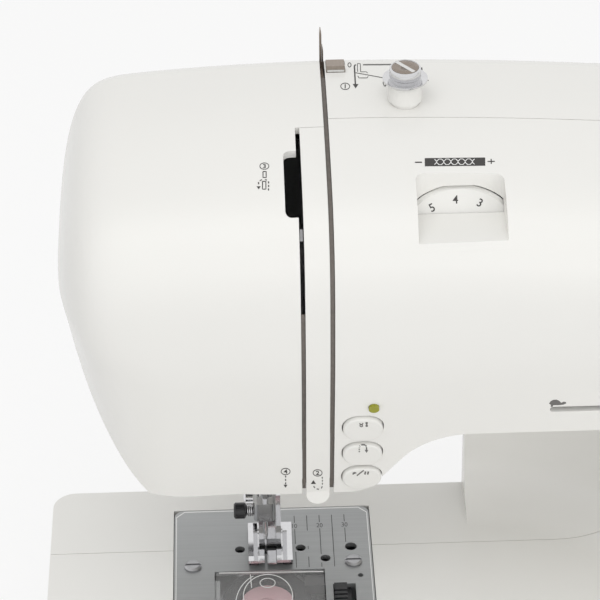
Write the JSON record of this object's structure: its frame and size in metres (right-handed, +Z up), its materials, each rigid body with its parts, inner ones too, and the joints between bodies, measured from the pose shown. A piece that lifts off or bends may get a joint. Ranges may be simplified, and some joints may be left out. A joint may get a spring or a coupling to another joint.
{
  "type": "sewing machine",
  "caption": "Portable electronic sewing machine with free arm, drop-in bobbin, clip-in presser foot, tension dial, speed slider and storage table.",
  "frame": {"origin": "on the table, under the middle of the whole machine", "axes": "+X towards the handwheel, +Y towards the rear, +Z up"},
  "size_m": [0.3816, 0.168, 0.315],
  "materials": {
    "white_plastic": "satin moulded",
    "bed_plastic": "satin moulded",
    "grey_plastic": "fine grain",
    "button_plastic": "smooth",
    "black_plastic": "smooth",
    "rubber": "matt",
    "plate_steel": "brushed",
    "clear_plastic": "clear",
    "display": "gloss",
    "chrome": "polished",
    "guide_metal": "satin",
    "post_plastic": "smooth",
    "cast_metal": "cast",
    "dark_steel": "oiled"
  },
  "bodies": {
    "machine": {"face_cover": "white_plastic", "thread_divider": "white_plastic", "front_casing": "white_plastic", "rear_casing": "white_plastic", "display_window": "display", "base_tray": "grey_plastic", "rubber_feet": "rubber", "needle_plate": "plate_steel", "plate_screws": "chrome", "bobbin_case": "grey_plastic", "main_frame": "cast_metal", "shaft_bushings": "guide_metal", "casing_screws": "dark_steel", "motor": "black_plastic", "motor_belt": "rubber", "timing_belt": "rubber", "thread_prongs": "guide_metal", "top_thread_guide": "guide_metal", "pretension_post": "post_plastic", "pretension_disc": "chrome", "pretension_screw": "chrome", "spool_pin": "grey_plastic", "led_lens": "clear_plastic", "power_inlet": "black_plastic"},
    "main_shaft": {"arm_shaft": "dark_steel", "crank_disc": "dark_steel", "handwheel": "grey_plastic", "arm_pulley": "dark_steel"},
    "lower_drive": {"lower_shaft": "dark_steel", "lower_gear": "dark_steel"},
    "rotary_hook": {"hook": "chrome"},
    "motor_rotor": {"motor_pulley": "dark_steel"},
    "bobbin": {"bobbin": "clear_plastic"},
    "bobbin_cover": {"bobbin_cover": "clear_plastic"},
    "cover_latch": {"cover_latch": "black_plastic"},
    "feed_carriage": {"feed_bar": "cast_metal"},
    "feed_dog": {"feed_dog": "plate_steel"},
    "needle_cradle": {"needle_bar_cradle": "cast_metal"},
    "needle_unit": {"needle_bar": "chrome", "needle": "chrome", "needle_clamp": "chrome", "needle_bar_link": "dark_steel"},
    "needle_screw": {"clamp_screw": "black_plastic"},
    "take_up": {"take_up_lever": "plate_steel"},
    "presser": {"presser_bar": "chrome", "foot_holder": "chrome"},
    "foot": {"presser_foot": "chrome"},
    "foot_holder_screw": {"foot_screw": "chrome"},
    "lifter": {"lifter_lever": "post_plastic"},
    "winder": {"winder_slide": "grey_plastic"},
    "winder_pin": {"winder_spindle": "chrome"},
    "handle": {"carry_handle": "white_plastic"},
    "dial": {"tension_dial": "grey_plastic"},
    "slider": {"speed_slider": "button_plastic"},
    "needle_key": {"needle_button": "button_plastic"},
    "reverse_key": {"reverse_button": "button_plastic"},
    "start_key": {"start_button": "button_plastic"},
    "rocker": {"power_switch": "black_plastic"},
    "table": {"accessory_table": "bed_plastic"},
    "door": {"table_door": "bed_plastic"}
  },
  "joints": [
    {"name": "handwheel_turn", "type": "hinge", "parent": "machine", "child": "main_shaft", "pos_m": [0.1462, 0.02795, 0.225], "axis": [1, 0, 0], "continuous": true},
    {"name": "lower_shaft_turn", "type": "hinge", "parent": "machine", "child": "lower_drive", "pos_m": [-0.0038, 0.00695, 0.0335], "axis": [1, 0, 0], "continuous": true},
    {"name": "hook_turn", "type": "hinge", "parent": "machine", "child": "rotary_hook", "pos_m": [-0.1055, 0.00695, 0.06], "axis": [0, 0, 1], "continuous": true},
    {"name": "motor_turn", "type": "hinge", "parent": "machine", "child": "motor_rotor", "pos_m": [0.1162, 0.02795, 0.097], "axis": [1, 0, 0], "continuous": true},
    {"name": "bobbin_spin", "type": "hinge", "parent": "machine", "child": "bobbin", "pos_m": [-0.1055, 0.00695, 0.061], "axis": [0, 0, 1], "continuous": true},
    {"name": "cover_lift", "type": "slide", "parent": "machine", "child": "bobbin_cover", "axis": [0, 0, 1], "range_m": [0, 0.03]},
    {"name": "latch_slide", "type": "slide", "parent": "machine", "child": "cover_latch", "axis": [1, 0, 0], "range_m": [0, 0.003], "stiffness_N_per_m": 150},
    {"name": "feed_travel", "type": "slide", "parent": "machine", "child": "feed_carriage", "axis": [0, 1, 0], "range_m": [-0.002, 0.002]},
    {"name": "feed_drop", "type": "slide", "parent": "feed_carriage", "child": "feed_dog", "axis": [0, 0, 1], "range_m": [-0.0017, 0]},
    {"name": "needle_swing", "type": "hinge", "parent": "machine", "child": "needle_cradle", "pos_m": [-0.1195, 0.02795, 0.221], "axis": [0, 1, 0], "range_deg": [-2, 0.7]},
    {"name": "needle_stroke", "type": "slide", "parent": "needle_cradle", "child": "needle_unit", "axis": [0, 0, 1], "range_m": [0, 0.03]},
    {"name": "needle_screw_turn", "type": "hinge", "parent": "needle_unit", "child": "needle_screw", "pos_m": [-0.1138, 0.02795, 0.0965], "axis": [1, 0, 0], "range_deg": [0, 720]},
    {"name": "take_up_swing", "type": "hinge", "parent": "machine", "child": "take_up", "pos_m": [-0.0918, 0.00195, 0.203], "axis": [1, 0, 0], "range_deg": [-20, 16]},
    {"name": "presser_lift", "type": "slide", "parent": "machine", "child": "presser", "axis": [0, 0, 1], "range_m": [0, 0.006]},
    {"name": "foot_tilt", "type": "hinge", "parent": "presser", "child": "foot", "pos_m": [-0.1038, 0.03195, 0.0825], "axis": [1, 0, 0], "range_deg": [-3, 3]},
    {"name": "foot_screw_turn", "type": "hinge", "parent": "presser", "child": "foot_holder_screw", "pos_m": [-0.1108, 0.04095, 0.092], "axis": [1, 0, 0], "range_deg": [0, 720]},
    {"name": "lifter_swing", "type": "hinge", "parent": "machine", "child": "lifter", "pos_m": [-0.1038, 0.06255, 0.167], "axis": [1, 0, 0], "range_deg": [0, 60]},
    {"name": "winder_shift", "type": "slide", "parent": "machine", "child": "winder", "axis": [1, 0, 0], "range_m": [-0.003, 0]},
    {"name": "winder_spin", "type": "hinge", "parent": "winder", "child": "winder_pin", "pos_m": [0.1552, 0.03995, 0.265], "axis": [0, 0, 1], "continuous": true},
    {"name": "handle_swing", "type": "hinge", "parent": "machine", "child": "handle", "pos_m": [0.0532, 0.07495, 0.245], "axis": [1, 0, 0], "range_deg": [0, 165]},
    {"name": "dial_turn", "type": "hinge", "parent": "machine", "child": "dial", "pos_m": [-0.0354, -0.01255, 0.2425], "axis": [0, -0.9063, 0.4226], "range_deg": [-110, 110]},
    {"name": "speed_shift", "type": "slide", "parent": "machine", "child": "slider", "axis": [1, 0, 0], "range_m": [-0.033, 0.015]},
    {"name": "needle_button_press", "type": "slide", "parent": "machine", "child": "needle_key", "axis": [0, 0.9603, 0.2791], "range_m": [0, 0.0012], "stiffness_N_per_m": 400},
    {"name": "reverse_button_press", "type": "slide", "parent": "machine", "child": "reverse_key", "axis": [0, 0.9603, 0.2791], "range_m": [0, 0.0012], "stiffness_N_per_m": 400},
    {"name": "start_button_press", "type": "slide", "parent": "machine", "child": "start_key", "axis": [0, 0.9603, 0.2791], "range_m": [0, 0.0012], "stiffness_N_per_m": 400},
    {"name": "switch_rock", "type": "hinge", "parent": "machine", "child": "rocker", "pos_m": [0.1622, 0.03995, 0.052], "axis": [0, 1, 0], "range_deg": [-16, 0]},
    {"name": "table_slide", "type": "slide", "parent": "machine", "child": "table", "axis": [-1, 0, 0], "range_m": [0, 0.25]},
    {"name": "door_swing", "type": "hinge", "parent": "table", "child": "door", "pos_m": [-0.0688, -0.08155, 0.0179], "axis": [1, 0, 0], "range_deg": [0, 90]}
  ],
  "couplings": [
    {"joint": "lower_shaft_turn", "follows": "handwheel_turn", "ratio": 1},
    {"joint": "hook_turn", "follows": "handwheel_turn", "ratio": -2},
    {"joint": "motor_turn", "follows": "handwheel_turn", "ratio": 2.75},
    {"joint": "lifter_swing", "follows": "presser_lift", "rad_per_m": 174.5}
  ]
}
